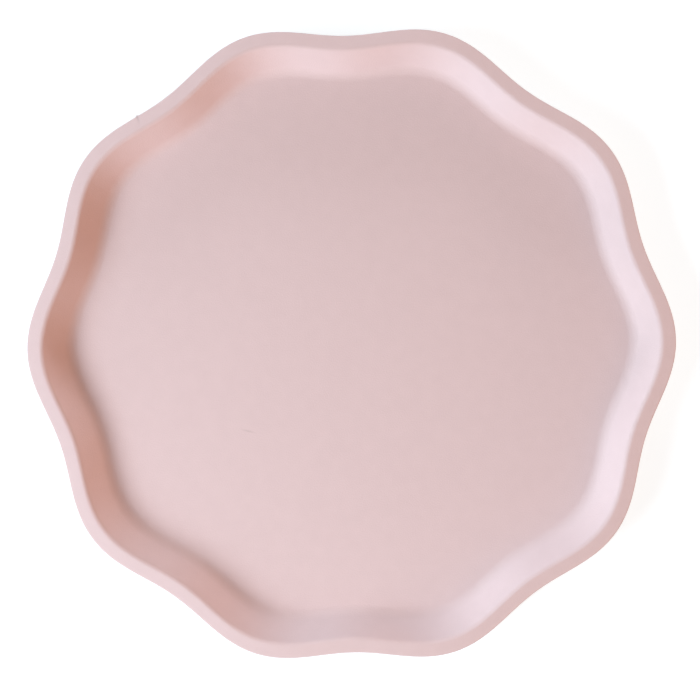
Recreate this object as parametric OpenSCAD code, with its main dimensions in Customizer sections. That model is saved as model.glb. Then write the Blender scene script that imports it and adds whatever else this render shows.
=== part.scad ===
// Scalloped dessert plate, press-formed from laminated paperboard.
// Three plies are glued face to face, cut to the scalloped outline and pressed hot into shape:
// a printed face sheet, a core board that gives the stiffness, and a plain back sheet.
// Origin at the centre of the underside, +Z up, with the tip of a scallop on +X.

/* [Outline] */
// Width across opposite scallop tips, at the cut edge of the rim
plate_d = 178; // [140:1:260]
// Number of scallops round the rim
scallop_count = 10; // [6:1:16]
// How far a scallop tip stands out past the valleys beside it, on the rim
rim_scallop = 4.4; // [1:0.1:6]
// The same at the foot of the wall, where the scallops have faded a little
foot_scallop = 3.8; // [1:0.1:6]

/* [Section] */
// Depth from the crest of the lip to the eating surface
well_depth = 7.2; // [5:0.1:20]
// Slope of the wall above the horizontal, in degrees
wall_slope = 47; // [35:1:75]
// Inside radius of the bend at the foot of the wall
foot_r = 4.9; // [2:0.1:7]
// Inside radius of the bend under the lip
lip_r = 1.2; // [0.4:0.1:3]
// Width of the flat rim outside the lip
rim_w = 3.1; // [1:0.1:10]
// Downward tilt of the rim, in degrees
rim_droop = 4; // [1:1:30]

/* [Plies] */
// Thickness of the printed face sheet
face_t = 0.15; // [0.08:0.01:0.3]
// Thickness of the core board
core_t = 0.5; // [0.2:0.05:1]
// Thickness of the back sheet
back_t = 0.15; // [0.08:0.01:0.3]

/* [Hidden] */

// Facets: steps round one scallop, through the foot bend and up to the crest of the lip
scallop_steps = 12;
foot_steps = 3;
crest_steps = 2;
ring_steps = scallop_count * scallop_steps;

// The three plies together, and the lip's radius on the food side
sheet_t = face_t + core_t + back_t;
lip_top_r = lip_r + sheet_t;

// Straight run of wall that is left between the foot bend and the lip
wall_run = (well_depth - (foot_r + lip_top_r) * (1 - cos(wall_slope))) / sin(wall_slope);

// The section is a list of stations on the food side, from the edge of the flat well outwards.
// Each is [distance out from the well, height above the eating surface, slope of the sheet].
foot_bend = [
    for (i = [0:foot_steps])
        let (slope = wall_slope * i / foot_steps)
            [foot_r * sin(slope), foot_r * (1 - cos(slope)), slope]
];
wall_top = foot_bend[foot_steps] + wall_run * [cos(wall_slope), sin(wall_slope), 0];
lip_slopes = concat([for (i = [0:crest_steps]) wall_slope * (1 - i / crest_steps)], [-rim_droop]);
lip_bend = [
    for (slope = lip_slopes)
        [
            wall_top.x + lip_top_r * (sin(wall_slope) - sin(slope)),
            wall_top.y + lip_top_r * (cos(slope) - cos(wall_slope)),
            slope
        ]
];
rim_edge = lip_bend[crest_steps + 1] + rim_w * [cos(rim_droop), -sin(rim_droop), 0];
section = concat(foot_bend, lip_bend, [rim_edge]);

// Radii are measured half way between the tips and the valleys
crest_out = wall_top.x + lip_top_r * sin(wall_slope);
rim_mean_r = (plate_d - rim_scallop) / 2;
well_mean_r = rim_mean_r - rim_edge.x;

// The scallops grow from the foot of the wall to the crest of the lip, and stay full on the rim
function scallop_at(out) =
    foot_scallop + (rim_scallop - foot_scallop) * min(1, out / crest_out);

// One station carried round the plate, at a depth below the food side measured through the sheet.
// The radius swings as a cosine, once for each scallop.
function ring(station, depth) =
    let (
        mean_r = well_mean_r + station[0] + depth * sin(station[2]),
        swing = scallop_at(station[0]) / 2,
        z = sheet_t + station[1] - depth * cos(station[2])
    )
    [
        for (i = [0:ring_steps - 1])
            let (
                angle = 360 * i / ring_steps,
                r = mean_r + swing * cos(scallop_count * angle)
            )
            [r * cos(angle), r * sin(angle), z]
    ];

// Triangles from one ring of points to the next, each ring given by the number of its first point
function band(here, next) = [
    for (i = [0:ring_steps - 1])
        let (j = (i + 1) % ring_steps)
            each [[here + i, here + j, next + j], [here + i, next + j, next + i]]
];

// Triangles that fill a ring, round a point at its middle, seen from above or from below
function fill(middle, edge, from_above) = [
    for (i = [0:ring_steps - 1])
        let (j = (i + 1) % ring_steps)
            from_above ? [middle, edge + j, edge + i] : [middle, edge + i, edge + j]
];

// The scalloped wall and rim of one ply, lofted through rings that run out along its upper side
// and back along its lower side
module pressed_wall(depth, thickness) {
    last = len(section) - 1;
    rings = concat(
        [for (i = [0:last]) ring(section[i], depth)],
        [for (i = [last:-1:0]) ring(section[i], depth + thickness)]
    );
    points = [for (r = rings) each r];
    faces = [
        for (k = [0:len(rings) - 1])
            each band(k * ring_steps, (k + 1) % len(rings) * ring_steps)
    ];
    polyhedron(points, faces);
}

// The flat well of one ply, out to the first ring of its wall
module flat_well(depth, thickness) {
    upper = ring(section[0], depth);
    lower = ring(section[0], depth + thickness);
    middles = [[0, 0, upper[0].z], [0, 0, lower[0].z]];
    upper_middle = 2 * ring_steps;
    lower_middle = upper_middle + 1;
    points = concat(upper, lower, middles);
    faces = concat(
        band(0, ring_steps),
        fill(upper_middle, 0, true),
        fill(lower_middle, ring_steps, false)
    );
    polyhedron(points, faces);
}

// One sheet of the laminate, whose upper side lies a given depth below the food side
module ply(depth, thickness) {
    union() {
        flat_well(depth, thickness);
        pressed_wall(depth, thickness);
    }
}

// Blush printed paper on the food side
module face_sheet() {
    color("#DDBFC2")
        ply(0, face_t);
}

// Bleached board, seen only at the cut edge of the rim
module core_board() {
    color("#EEE8DF")
        ply(face_t, core_t);
}

// Plain white paper underneath, which the plate stands on
module back_sheet() {
    color("#F6F3EE")
        ply(face_t + core_t, back_t);
}

face_sheet();
core_board();
back_sheet();
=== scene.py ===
import bpy
import numpy as np
from mathutils import Matrix, Vector


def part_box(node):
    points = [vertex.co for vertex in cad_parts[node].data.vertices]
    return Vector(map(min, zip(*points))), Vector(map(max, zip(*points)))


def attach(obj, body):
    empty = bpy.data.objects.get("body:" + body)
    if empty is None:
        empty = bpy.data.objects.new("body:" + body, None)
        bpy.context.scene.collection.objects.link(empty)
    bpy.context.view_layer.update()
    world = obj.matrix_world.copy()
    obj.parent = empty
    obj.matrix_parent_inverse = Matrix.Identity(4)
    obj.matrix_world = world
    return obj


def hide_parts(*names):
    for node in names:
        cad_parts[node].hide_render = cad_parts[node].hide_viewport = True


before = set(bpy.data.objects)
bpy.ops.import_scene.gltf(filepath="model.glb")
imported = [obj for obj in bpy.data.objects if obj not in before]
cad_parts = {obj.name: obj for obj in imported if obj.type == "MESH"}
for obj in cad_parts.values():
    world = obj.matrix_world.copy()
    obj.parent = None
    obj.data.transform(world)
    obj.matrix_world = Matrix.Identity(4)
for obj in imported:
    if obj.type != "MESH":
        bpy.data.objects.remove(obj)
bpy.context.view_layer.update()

# Core board
# Bleached paperboard half a millimetre thick, the stiff middle of the laminate. It is glued between two
# sheets of paper, cut to the scalloped outline and pressed hot. It shows only at the cut edge of the rim.
MM = 0.001
SCALLOPS = 10
RIM_SCALLOP = 4.4 * MM
FOOT_SCALLOP = 3.8 * MM
WALL_SLOPE = np.radians(47)
FOOT_R = 4.9 * MM
LIP_R = 1.2 * MM
RIM_W = 3.1 * MM
RIM_DROOP = np.radians(4)
BACK_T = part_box("core_board")[0].z
CORE_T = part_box("face_sheet")[0].z - BACK_T
FACE_T = 0.15 * MM
SHEET_T = BACK_T + CORE_T + FACE_T
WELL_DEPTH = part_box("face_sheet")[1].z - SHEET_T
TIP_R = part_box("face_sheet")[1].x

# Stations along each part of the section, and steps round the plate. The last stations are shares of the
# rim's width, and the two outermost take up the ease of a cut corner.
WELL_STATIONS = 10
FOOT_STATIONS = 13
WALL_STATIONS = 6
LIP_STATIONS = 12
RIM_STATIONS = 10
EDGE_STATIONS = np.array([0.96, 0.985, 1])
EDGE_EASE = (0.3, 1)
ROUND_STEPS = 600
CRISP_ANGLE = np.radians(40)

# The press crease across the rim. Its span of finer steps is in degrees from its place.
CREASE_AT = np.radians(132)
CREASE_SKEW = np.radians(26)
CREASE_LENGTH = 2.4 * MM
CREASE_OVERRUN = 1 * MM
CREASE_HALF_W = 0.3 * MM
CREASE_DENT = 0.09 * MM
CREASE_NICK = 0.35 * MM
CREASE_SPAN = (-0.9, 1.5)
CREASE_STEPS = 25
CREASE_MARGIN = np.radians(0.1)


def food_side():
    """The plate's section on the food side: share, distance out, height, slope of each station.

    An arc of FOOT_R turns the level well up to the wall's slope. A straight wall follows. A second arc
    turns it over the crest, and a straight rim droops away to the cut edge. The first stations are the
    level well: the outline at the foot, shrunk towards the middle by their share."""
    lip_r = LIP_R + SHEET_T
    turn_up = np.linspace(0, WALL_SLOPE, FOOT_STATIONS)
    turn_over = np.append(np.linspace(WALL_SLOPE, 0, LIP_STATIONS), -RIM_DROOP)
    run = (WELL_DEPTH - (FOOT_R + lip_r) * (1 - np.cos(WALL_SLOPE))) / np.sin(WALL_SLOPE)
    along_wall = np.linspace(0, run, WALL_STATIONS)[1:-1]
    along_rim = np.append(np.linspace(0, RIM_W, RIM_STATIONS)[1:-1], RIM_W * EDGE_STATIONS)
    foot_out = FOOT_R * np.sin(turn_up)
    foot_up = FOOT_R * (1 - np.cos(turn_up))
    wall_out = foot_out[-1] + along_wall * np.cos(WALL_SLOPE)
    wall_up = foot_up[-1] + along_wall * np.sin(WALL_SLOPE)
    lip_out = foot_out[-1] + run * np.cos(WALL_SLOPE) + lip_r * (np.sin(WALL_SLOPE) - np.sin(turn_over))
    lip_up = foot_up[-1] + run * np.sin(WALL_SLOPE) + lip_r * (np.cos(turn_over) - np.cos(WALL_SLOPE))
    rim_out = lip_out[-1] + along_rim * np.cos(RIM_DROOP)
    rim_up = lip_up[-1] - along_rim * np.sin(RIM_DROOP)
    shrunk = np.linspace(0, 1, WELL_STATIONS)[1:-1]
    flat = np.zeros(len(shrunk))
    wall_slope = np.full(len(along_wall), WALL_SLOPE)
    rim_slope = np.full(len(along_rim), -RIM_DROOP)
    out = np.concatenate([flat, foot_out, wall_out, lip_out, rim_out])
    up = np.concatenate([flat, foot_up, wall_up, lip_up, rim_up])
    slope = np.concatenate([flat, turn_up, wall_slope, turn_over, rim_slope])
    share = np.ones(len(out))
    share[:len(shrunk)] = shrunk
    return share, out, up, slope


def round_the_plate():
    """Angles round the plate: an even sweep, with finer steps packed across the press crease."""
    even = np.linspace(0, 2 * np.pi, ROUND_STEPS, endpoint=False)
    fine = CREASE_AT + np.radians(np.linspace(*CREASE_SPAN, CREASE_STEPS))
    clear = (even < fine[0] - CREASE_MARGIN) | (even > fine[-1] + CREASE_MARGIN)
    return np.sort(np.concatenate([even[clear], fine]))


def crease(points):
    """How strongly the press crease marks each point, from 0 to 1.

    The crease is a line across the rim, skewed from the radius. The mark falls away as a bell to both
    sides of the line and evenly along it from the cut edge inwards."""
    outward = np.array([np.cos(CREASE_AT), np.sin(CREASE_AT)])
    edge_r = TIP_R - RIM_SCALLOP / 2 * (1 - np.cos(SCALLOPS * CREASE_AT))
    along_rim = np.array([-outward[1], outward[0]])
    line = -outward * np.cos(CREASE_SKEW) + along_rim * np.sin(CREASE_SKEW)
    offset = points[..., :2] - outward * edge_r
    along = offset @ line
    across = offset @ np.array([-line[1], line[0]])
    fade = np.clip(1 - along / CREASE_LENGTH, 0, 1) * (along > -CREASE_OVERRUN)
    return np.exp(-(across / CREASE_HALF_W) ** 2) * fade


def ply(name, depth, thickness, upper_ease=0, lower_ease=0):
    """A sheet of the laminate as one closed surface, its upper side a given depth below the food side.

    Each station of the section is carried round the plate. Its radius is a mean radius plus a swing that
    goes as the cosine of ten times the angle, and the swing grows from the foot to the crest. The depth
    is measured square to the sheet, and the last two stations ease an upper or lower corner of the cut
    edge. Rows of points run out along the upper side and back along the lower. The crease dents the rows,
    and pushes the cut edge out into a small nub."""
    share, out, up, slope = food_side()
    angle = round_the_plate()
    crest = out[np.argmax(up)]
    foot_mean_r = TIP_R - RIM_SCALLOP / 2 - out[-1]
    swing = (FOOT_SCALLOP + (RIM_SCALLOP - FOOT_SCALLOP) * np.minimum(1, out / crest)) / 2
    corner = np.zeros(len(out))
    corner[-2:] = EDGE_EASE

    def side(depths):
        """One side of the sheet: each station at its own depth, carried round the plate."""
        mean_r = share * foot_mean_r + out + depths * np.sin(slope)
        r = mean_r[:, None] + (share * swing)[:, None] * np.cos(SCALLOPS * angle)
        z = np.broadcast_to((SHEET_T + up - depths * np.cos(slope))[:, None], r.shape)
        return np.stack([r * np.cos(angle), r * np.sin(angle), z], axis=-1)

    rows = np.concatenate([
        side(depth + upper_ease * corner),
        side(depth + thickness - lower_ease * corner)[::-1],
    ])
    mark = crease(rows)
    at_edge = np.concatenate([corner, corner[::-1]])[:, None]
    radius = np.linalg.norm(rows[..., :2], axis=-1, keepdims=True)
    outward = rows[..., :2] / np.maximum(radius, MM)
    rows[..., :2] += outward * (CREASE_NICK * mark * at_edge)[..., None]
    rows[..., 2] -= CREASE_DENT * mark
    count, steps = rows.shape[:2]
    middles = [[0, 0, SHEET_T - depth], [0, 0, SHEET_T - depth - thickness]]
    points = np.concatenate([rows.reshape(-1, 3), middles])
    number = np.arange(count * steps).reshape(count, steps)
    after = np.roll(number, -1, axis=1)
    quads = np.stack([number[:-1], number[1:], after[1:], after[:-1]], axis=-1).reshape(-1, 4)
    upper_middle = np.full(steps, count * steps)
    lower_middle = upper_middle + 1
    fans = np.concatenate([
        np.stack([upper_middle, number[0], after[0]], axis=-1),
        np.stack([lower_middle, after[-1], number[-1]], axis=-1),
    ])
    mesh = bpy.data.meshes.new(name)
    mesh.from_pydata(points.tolist(), [], quads.tolist() + fans.tolist(), shade_flat=False)
    mesh.set_sharp_from_angle(angle=CRISP_ANGLE)
    # The crease's strength is kept on the mesh, where the ink takes it up as painted shade.
    crease_shade_attribute = mesh.attributes.new("crease", "FLOAT", "POINT")
    crease_shade_attribute.data.foreach_set("value", np.append(mark.ravel(), [0, 0]))
    sheet = bpy.data.objects.new(name, mesh)
    bpy.context.scene.collection.objects.link(sheet)
    return sheet


def shader(name):
    """A new material, with its node tree and its Principled shader."""
    material = bpy.data.materials.new(name)
    material.use_nodes = True
    return material, material.node_tree, material.node_tree.nodes["Principled BSDF"]


def noise(tree, scale, detail, stretch=(1, 1, 1)):
    """Fractal noise in the piece's own coordinates, in cycles per metre, stretched along its axes."""
    place = tree.nodes.new("ShaderNodeTexCoord")
    mapping = tree.nodes.new("ShaderNodeMapping")
    texture = tree.nodes.new("ShaderNodeTexNoise")
    mapping.inputs["Scale"].default_value = stretch
    texture.inputs["Scale"].default_value = scale
    texture.inputs["Detail"].default_value = detail
    tree.links.new(place.outputs["Object"], mapping.inputs["Vector"])
    tree.links.new(mapping.outputs["Vector"], texture.inputs["Vector"])
    return texture.outputs["Fac"]


# Most of a noise's values lie between these two
NOISE_LOW = 0.3
NOISE_HIGH = 0.7


def tint(tree, factor, low, high):
    """A colour that runs in a straight line from one to another over the middle range of a noise."""
    ramp = tree.nodes.new("ShaderNodeValToRGB")
    first, last = ramp.color_ramp.elements
    first.position = NOISE_LOW
    first.color = (*low, 1)
    last.position = NOISE_HIGH
    last.color = (*high, 1)
    tree.links.new(factor, ramp.inputs["Fac"])
    return ramp.outputs["Color"]


def level(tree, factor, low, high):
    """A number that runs in a straight line from one to another over the middle range of a noise."""
    spread = tree.nodes.new("ShaderNodeMapRange")
    spread.inputs["From Min"].default_value = NOISE_LOW
    spread.inputs["From Max"].default_value = NOISE_HIGH
    spread.inputs["To Min"].default_value = low
    spread.inputs["To Max"].default_value = high
    tree.links.new(factor, spread.inputs["Value"])
    return spread.outputs["Result"]


def relief(tree, skin, factor, height):
    """Fine relief of a given height, from a noise."""
    bump = tree.nodes.new("ShaderNodeBump")
    bump.inputs["Distance"].default_value = height
    tree.links.new(factor, bump.inputs["Height"])
    tree.links.new(bump.outputs["Normal"], skin.inputs["Normal"])


BOARD_DARK = (0.76, 0.70, 0.61)
BOARD_PALE = (0.90, 0.86, 0.80)
BOARD_LAYERS = {"scale": 400, "detail": 4, "stretch": (1, 1, 20)}
BOARD_ROUGHNESS = (0.95, 0.85)
BOARD_RELIEF = 0.03 * MM
board, board_tree, board_skin = shader("bleached_board")
board_layers = noise(board_tree, **BOARD_LAYERS)
board_colour = tint(board_tree, board_layers, BOARD_DARK, BOARD_PALE)
board_tree.links.new(board_colour, board_skin.inputs["Base Color"])
board_tree.links.new(level(board_tree, board_layers, *BOARD_ROUGHNESS), board_skin.inputs["Roughness"])
relief(board_tree, board_skin, board_layers, BOARD_RELIEF)
core = ply("board_core", FACE_T, CORE_T)
core.data.materials.append(board)
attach(core, "root")
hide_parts("core_board")

# Face sheet
# Printed paper glued over the whole food side of the board: a flat blush ink under a matt varnish. The
# press has left one short crease across the rim, along which the ink is darkened as painted shade, and
# there is a faint scuff in the well.
PINK_DEEP = (0.645, 0.529, 0.567)
PINK_PALE = (0.659, 0.541, 0.579)
INK_MOTTLE = {"scale": 260, "detail": 5}
# Painted shade: the share of the ink taken off along the crease's groove.
CREASE_PAINTED_SHADE = 0.25
SCUFF_SHADE = 0.13
SCUFF_AT = (-29 * MM, -23.65 * MM, SHEET_T)
SCUFF_TURN = np.radians(-14)
SCUFF_HALF = (2.9 * MM, 0.45 * MM, 1 * MM)
FACE_FIBRES = {"scale": 2600, "detail": 3}
VARNISH_ROUGHNESS = (0.72, 0.8)
FACE_RELIEF = 0.05 * MM
FACE_EASE = 0.08 * MM


def shaded(tree, colour, *marks):
    """A colour darkened by marks, each a strength from 0 to 1 and the share that it takes off at 1."""
    for strength, share in marks:
        keep = tree.nodes.new("ShaderNodeMapRange")
        keep.inputs["To Min"].default_value = 1
        keep.inputs["To Max"].default_value = 1 - share
        product = tree.nodes.new("ShaderNodeVectorMath")
        product.operation = "SCALE"
        tree.links.new(strength, keep.inputs["Value"])
        tree.links.new(colour, product.inputs[0])
        tree.links.new(keep.outputs["Result"], product.inputs["Scale"])
        colour = product.outputs["Vector"]
    return colour


def soft_spot(tree, centre, turn, half):
    """A mark that is 1 in the middle of a turned ellipse and fades smoothly to 0 at its edge."""
    place = tree.nodes.new("ShaderNodeTexCoord")
    mapping = tree.nodes.new("ShaderNodeMapping")
    mapping.vector_type = "TEXTURE"
    mapping.inputs["Location"].default_value = centre
    mapping.inputs["Rotation"].default_value = (0, 0, turn)
    mapping.inputs["Scale"].default_value = half
    length = tree.nodes.new("ShaderNodeVectorMath")
    length.operation = "LENGTH"
    fade = tree.nodes.new("ShaderNodeMapRange")
    fade.interpolation_type = "SMOOTHSTEP"
    fade.inputs["To Min"].default_value = 1
    fade.inputs["To Max"].default_value = 0
    tree.links.new(place.outputs["Object"], mapping.inputs["Vector"])
    tree.links.new(mapping.outputs["Vector"], length.inputs[0])
    tree.links.new(length.outputs["Value"], fade.inputs["Value"])
    return fade.outputs["Result"]


blush, blush_tree, blush_skin = shader("blush_print")
painted_crease_shade = blush_tree.nodes.new("ShaderNodeAttribute")
painted_crease_shade.attribute_name = "crease"
scuff_mark = soft_spot(blush_tree, SCUFF_AT, SCUFF_TURN, SCUFF_HALF)
ink = tint(blush_tree, noise(blush_tree, **INK_MOTTLE), PINK_DEEP, PINK_PALE)
# The ink is darkened along the crease as painted shade, and in the scuff as a real mark.
ink = shaded(blush_tree, ink, (painted_crease_shade.outputs["Fac"], CREASE_PAINTED_SHADE), (scuff_mark, SCUFF_SHADE))
blush_tree.links.new(ink, blush_skin.inputs["Base Color"])
face_fibres = noise(blush_tree, **FACE_FIBRES)
blush_tree.links.new(level(blush_tree, face_fibres, *VARNISH_ROUGHNESS), blush_skin.inputs["Roughness"])
relief(blush_tree, blush_skin, face_fibres, FACE_RELIEF)
face = ply("printed_face", 0, FACE_T, upper_ease=FACE_EASE)
face.data.materials.append(blush)
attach(face, "root")
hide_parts("face_sheet")

# Back sheet
# Plain white uncoated paper, glued all over the underside of the board so that the laminate stays flat.
# It is pressed together with the other two plies, and the plate stands on it.
PAPER_GREY = (0.85, 0.815, 0.785)
PAPER_WHITE = (0.92, 0.885, 0.855)
PAPER_MOTTLE = {"scale": 700, "detail": 6}
BACK_FIBRES = {"scale": 2200, "detail": 4}
PAPER_ROUGHNESS = (0.82, 0.94)
BACK_RELIEF = 0.06 * MM
BACK_EASE = 0.06 * MM
paper, paper_tree, paper_skin = shader("plain_paper")
paper_colour = tint(paper_tree, noise(paper_tree, **PAPER_MOTTLE), PAPER_GREY, PAPER_WHITE)
paper_tree.links.new(paper_colour, paper_skin.inputs["Base Color"])
back_fibres = noise(paper_tree, **BACK_FIBRES)
paper_tree.links.new(level(paper_tree, back_fibres, *PAPER_ROUGHNESS), paper_skin.inputs["Roughness"])
relief(paper_tree, paper_skin, back_fibres, BACK_RELIEF)
back = ply("paper_back", FACE_T + CORE_T, BACK_T, lower_ease=BACK_EASE)
back.data.materials.append(paper)
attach(back, "root")
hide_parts("back_sheet")

# Floor
# A wide sheet of pale paper that the plate stands on. It gives soft light back to the plate's underside,
# and where it is looked at it is white, apart from the plate's faint shadow.
FLOOR_HALF = 0.8
FLOOR_Z = -0.05 * MM
FLOOR_PAPER = (0.62, 0.62, 0.62, 1)
FLOOR_SHADED = (0.24, 0.3, 0.35, 1)
FLOOR_LIFT = 0.86
corners = np.array([[-1, -1, 0], [1, -1, 0], [1, 1, 0], [-1, 1, 0]]) * FLOOR_HALF + [0, 0, FLOOR_Z]
floor_mesh = bpy.data.meshes.new("floor")
floor_mesh.from_pydata(corners.tolist(), [], [(0, 1, 2, 3)])
floor = bpy.data.objects.new("floor", floor_mesh)
bpy.context.scene.collection.objects.link(floor)


def looked_at(tree):
    """1 for a ray from the camera, off a gloss or through a clear surface, and 0 for light on its way."""
    path = tree.nodes.new("ShaderNodeLightPath")
    found = path.outputs["Is Camera Ray"]
    for kind in ("Is Glossy Ray", "Is Transmission Ray"):
        either = tree.nodes.new("ShaderNodeMath")
        either.operation = "MAXIMUM"
        tree.links.new(found, either.inputs[0])
        tree.links.new(path.outputs[kind], either.inputs[1])
        found = either.outputs["Value"]
    return found


floor_paint = bpy.data.materials.new("floor_paint")
floor_paint.use_nodes = True
floor_tree = floor_paint.node_tree
floor_tree.nodes.remove(floor_tree.nodes["Principled BSDF"])
floor_paper = floor_tree.nodes.new("ShaderNodeBsdfDiffuse")
floor_paper.inputs["Color"].default_value = FLOOR_PAPER
floor_shaded = floor_tree.nodes.new("ShaderNodeBsdfDiffuse")
floor_shaded.inputs["Color"].default_value = FLOOR_SHADED
floor_lift = floor_tree.nodes.new("ShaderNodeEmission")
floor_lift.inputs["Strength"].default_value = FLOOR_LIFT
floor_seen = floor_tree.nodes.new("ShaderNodeAddShader")
floor_mix = floor_tree.nodes.new("ShaderNodeMixShader")
floor_tree.links.new(floor_shaded.outputs["BSDF"], floor_seen.inputs[0])
floor_tree.links.new(floor_lift.outputs["Emission"], floor_seen.inputs[1])
floor_tree.links.new(looked_at(floor_tree), floor_mix.inputs["Fac"])
floor_tree.links.new(floor_paper.outputs["BSDF"], floor_mix.inputs[1])
floor_tree.links.new(floor_seen.outputs["Shader"], floor_mix.inputs[2])
floor_tree.links.new(floor_mix.outputs["Shader"], floor_tree.nodes["Material Output"].inputs["Surface"])
floor_mesh.materials.append(floor_paint)

# Light
# A dim even surround that looks white, and six round soft boxes: three of cool window light on the left,
# one of them close by, one of plain daylight low on the far side, and two of a warmer room on the right,
# a broad one above and a small one below.
SURROUND = (0.15, 0.135, 0.126, 1)
WHITE = (1, 1, 1, 1)
COOL = (0.89, 0.97, 0.99)
PLAIN = (1, 1, 1)
WARM = (1, 0.46, 0.21)
FAR = {"away": 1.2, "size": 0.42}
CLOSE = {"away": 0.4, "size": 0.2}
LOW = {"away": 1.2, "size": 0.24}
BROAD = {"away": 1.2, "size": 1}
studio = bpy.data.worlds.new("studio")
bpy.context.scene.world = studio
studio.use_nodes = True
studio_tree = studio.node_tree
surround = studio_tree.nodes["Background"]
surround.inputs["Color"].default_value = SURROUND
backdrop = studio_tree.nodes.new("ShaderNodeBackground")
backdrop.inputs["Color"].default_value = WHITE
studio_mix = studio_tree.nodes.new("ShaderNodeMixShader")
studio_tree.links.new(looked_at(studio_tree), studio_mix.inputs["Fac"])
studio_tree.links.new(surround.outputs["Background"], studio_mix.inputs[1])
studio_tree.links.new(backdrop.outputs["Background"], studio_mix.inputs[2])
studio_tree.links.new(studio_mix.outputs["Shader"], studio_tree.nodes["World Output"].inputs["Surface"])


def soft_box(name, azimuth, elevation, power, colour, away, size):
    """A round area lamp that looks at the plate's middle from a direction given in degrees."""
    lamp = bpy.data.lights.new(name, "AREA")
    lamp.shape = "DISK"
    lamp.size = size
    lamp.energy = power
    lamp.color = colour
    turn = np.radians(azimuth)
    rise = np.radians(elevation)
    to_lamp = Vector((np.cos(turn) * np.cos(rise), np.sin(turn) * np.cos(rise), np.sin(rise)))
    holder = bpy.data.objects.new(name, lamp)
    holder.location = to_lamp * away
    holder.rotation_euler = (-to_lamp).to_track_quat("-Z", "Y").to_euler()
    holder.visible_camera = False
    bpy.context.scene.collection.objects.link(holder)


soft_box("window", azimuth=215, elevation=32, power=9, colour=COOL, **FAR)
soft_box("window_left", azimuth=184, elevation=32, power=6.6, colour=COOL, **FAR)
soft_box("window_close", azimuth=225, elevation=25, power=0.52, colour=COOL, **CLOSE)
soft_box("daylight", azimuth=90, elevation=7, power=8.6, colour=PLAIN, **LOW)
soft_box("room", azimuth=337, elevation=36, power=6.3, colour=WARM, **BROAD)
soft_box("room_low", azimuth=0, elevation=7, power=2.6, colour=WARM, **LOW)

# Camera
# Almost straight above the plate, leaning a little to the far right, as the photograph was taken. The
# plate's place, width and turn in the photograph's frame say where it looks and how much it takes in.
FRAME_PX = 700
PLATE_AT_PX = Vector((350.1, 345.4))
PLATE_WIDTH_PX = 649.8
PLATE_TURN = np.radians(0.98)
LEAN = np.radians(4)
LEAN_TO = np.radians(45)
CAMERA_AWAY = 1
SENSOR_MM = 36
pixel = 2 * TIP_R / PLATE_WIDTH_PX
photo_right = Vector((np.cos(PLATE_TURN), -np.sin(PLATE_TURN), 0))
photo_up = Vector((np.sin(PLATE_TURN), np.cos(PLATE_TURN), 0))
lean_to = photo_right * np.cos(LEAN_TO) + photo_up * np.sin(LEAN_TO)
to_camera = Vector((0, 0, np.cos(LEAN))) + lean_to * np.sin(LEAN)
camera_up = (photo_up - to_camera * photo_up.dot(to_camera)).normalized()
camera_right = camera_up.cross(to_camera)
off_middle = PLATE_AT_PX - Vector((FRAME_PX / 2, FRAME_PX / 2))
crest_middle = Vector((0, 0, SHEET_T + WELL_DEPTH))
aim = crest_middle - (photo_right * off_middle.x - photo_up * off_middle.y) * pixel
camera_data = bpy.data.cameras.new("camera")
camera_data.sensor_width = SENSOR_MM
camera_data.lens = SENSOR_MM * CAMERA_AWAY / (FRAME_PX * pixel)
camera = bpy.data.objects.new("camera", camera_data)
facing = Matrix((camera_right, camera_up, to_camera)).transposed()
camera.matrix_world = Matrix.Translation(aim + to_camera * CAMERA_AWAY) @ facing.to_4x4()
bpy.context.scene.collection.objects.link(camera)
bpy.context.scene.camera = camera
bpy.context.scene.view_settings.view_transform = "Standard"
